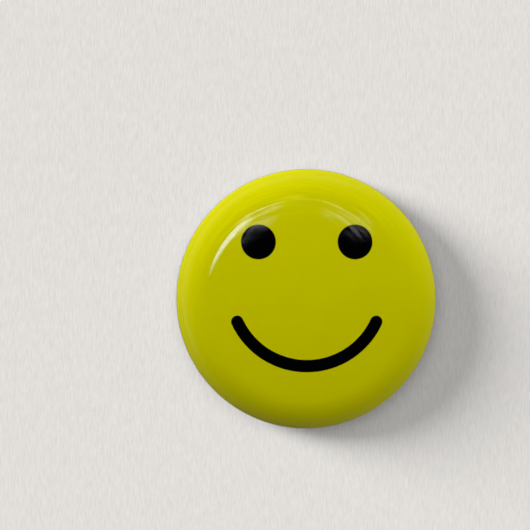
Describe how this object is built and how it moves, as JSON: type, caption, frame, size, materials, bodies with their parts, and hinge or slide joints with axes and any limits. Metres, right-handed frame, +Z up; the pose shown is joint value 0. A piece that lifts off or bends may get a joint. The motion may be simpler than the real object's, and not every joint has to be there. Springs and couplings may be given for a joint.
{
  "type": "button badge",
  "caption": "Round pin-back button badge: domed face under clear film, pressed metal back pan, and a spring wire pin that closes under a wire hook.",
  "frame": {"origin": "on the badge's axis, in the plane of the rear rim that lies on the cloth", "axes": "+Y along the badge's axis, out of its back towards the wearer, so the face looks along -Y; +Z up; seen from behind, the hook is on the left, at +X, and the pin's pivot is at -X"},
  "size_m": [0.0318, 0.0056, 0.0318],
  "materials": {
    "clear_film": "clear, glossy",
    "printed_paper": "yellow print with black features, white on the back",
    "tinplate": "satin, hidden",
    "bright_tinplate": "bright, rolled grain",
    "plated_wire": "polished"
  },
  "bodies": {
    "badge": {"cover_film": "clear_film", "printed_paper": "printed_paper", "front_shell": "tinplate", "back_pan": "bright_tinplate", "catch_wire": "plated_wire"},
    "pin": {"pin_arm": "plated_wire"}
  },
  "joints": [
    {"name": "pin_open", "type": "hinge", "parent": "badge", "child": "pin", "pos_m": [-0.01071, -0.0005, 0], "axis": [0.8598, 0.4849, -0.16], "range_deg": [0, 150], "stiffness_Nm_per_rad": 0.001}
  ]
}
